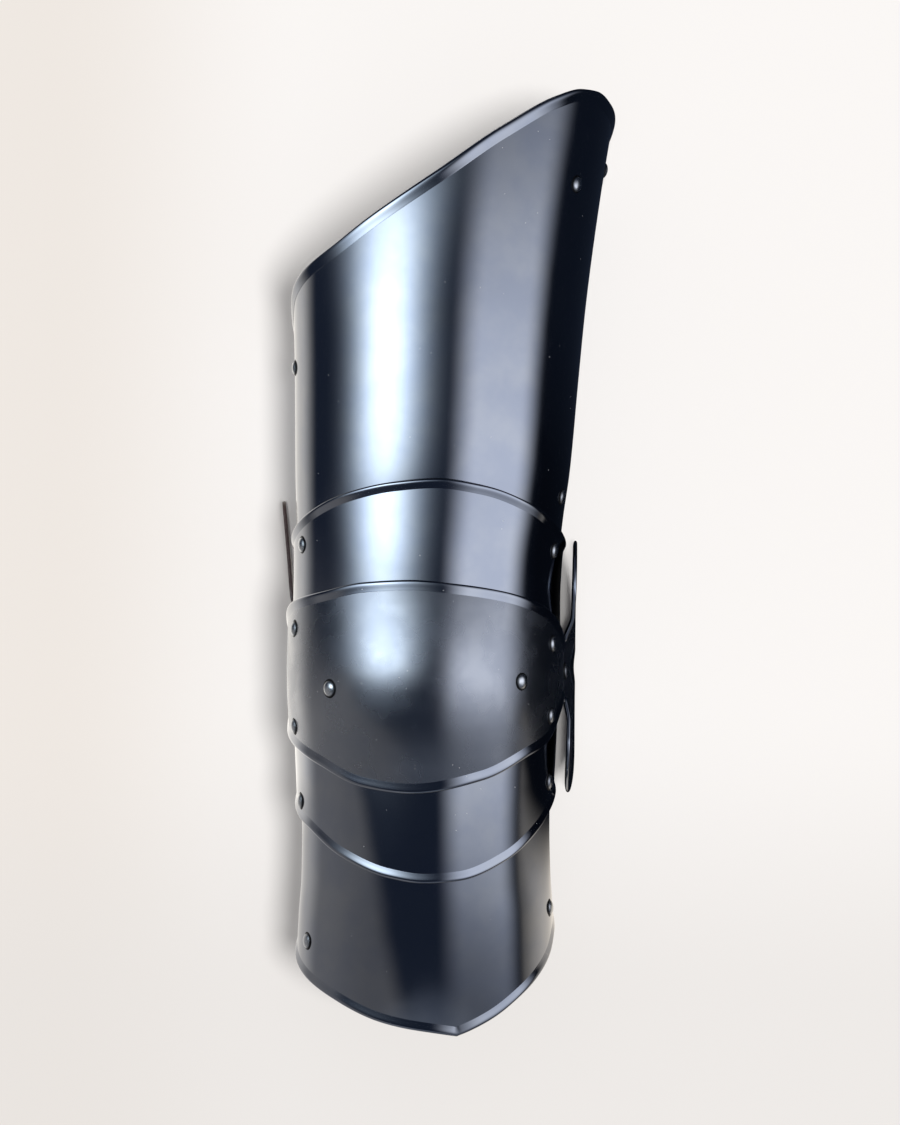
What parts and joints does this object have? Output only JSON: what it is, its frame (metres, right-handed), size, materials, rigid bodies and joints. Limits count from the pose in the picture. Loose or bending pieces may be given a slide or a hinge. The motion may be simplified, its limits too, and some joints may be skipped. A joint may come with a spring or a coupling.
{
  "type": "cuisse with knee cop and greave plate, for the left leg",
  "caption": "Blackened steel thigh plate with two lames, a winged knee cop and a short greave plate, sliding on rivets and closed at the back with buckled leather straps.",
  "frame": {"origin": "on the surface the armour lies on, under the middle of its box", "axes": "+X to the outer side of the leg, +Y up the leg towards the hip, +Z out of the front of the leg"},
  "size_m": [0.1955, 0.5298, 0.1463],
  "materials": {
    "blackened_steel": "polished, blued to near black, glossy under wax",
    "rivet_steel": "domed heads, blackened like the plates",
    "buckle_iron": "dark satin iron",
    "strap_leather": "dark purple-brown, waxed, semi-matt"
  },
  "bodies": {
    "thigh": {"thigh_plate": "blackened_steel", "hip_rivet_side": "rivet_steel", "hip_rivet_front": "rivet_steel", "upper_thigh_strap": "strap_leather", "upper_thigh_buckle_strap": "strap_leather", "upper_thigh_buckle": "buckle_iron", "upper_thigh_tongue": "buckle_iron", "upper_thigh_strap_rivet_inner": "rivet_steel", "upper_thigh_strap_rivet_outer": "rivet_steel", "lower_thigh_strap": "strap_leather", "lower_thigh_buckle_strap": "strap_leather", "lower_thigh_buckle": "buckle_iron", "lower_thigh_tongue": "buckle_iron", "lower_thigh_strap_rivet_inner": "rivet_steel", "lower_thigh_strap_rivet_outer": "rivet_steel"},
    "upper_lame": {"upper_lame": "blackened_steel", "upper_lame_pivot_inner": "rivet_steel", "upper_lame_pivot_outer": "rivet_steel"},
    "cop": {"knee_cop": "blackened_steel", "cop_upper_pivot_inner": "rivet_steel", "cop_upper_pivot_outer": "rivet_steel", "cop_lower_pivot_inner": "rivet_steel", "cop_lower_pivot_outer": "rivet_steel", "cop_rivet_inner": "rivet_steel", "cop_rivet_outer": "rivet_steel", "knee_strap": "strap_leather", "knee_strap_rivet": "rivet_steel", "knee_buckle_strap": "strap_leather", "knee_buckle": "buckle_iron", "knee_tongue": "buckle_iron", "knee_buckle_rivet": "rivet_steel"},
    "lower_lame": {"lower_lame": "blackened_steel", "greave_pivot_inner": "rivet_steel", "greave_pivot_outer": "rivet_steel"},
    "greave": {"greave_plate": "blackened_steel", "calf_strap": "strap_leather", "calf_buckle_strap": "strap_leather", "calf_buckle": "buckle_iron", "calf_tongue": "buckle_iron", "calf_strap_rivet_inner": "rivet_steel", "calf_strap_rivet_outer": "rivet_steel"}
  },
  "joints": [
    {"name": "upper_lame_flex", "type": "hinge", "parent": "thigh", "child": "upper_lame", "pos_m": [-0.0101, 0.00685, 0.08124], "axis": [0.9997, -0.0237, -0.0035], "range_deg": [0, 17]},
    {"name": "cop_flex", "type": "hinge", "parent": "upper_lame", "child": "cop", "pos_m": [-0.0128, -0.04345, 0.08596], "axis": [0.9971, -0.057, 0.0503], "range_deg": [0, 17]},
    {"name": "lower_lame_flex", "type": "hinge", "parent": "cop", "child": "lower_lame", "pos_m": [-0.01334, -0.09145, 0.08507], "axis": [0.997, 0.0436, 0.0633], "range_deg": [0, 17]},
    {"name": "greave_flex", "type": "hinge", "parent": "lower_lame", "child": "greave", "pos_m": [-0.01205, -0.13235, 0.07351], "axis": [0.9969, 0.0773, 0.0113], "range_deg": [0, 17]}
  ]
}
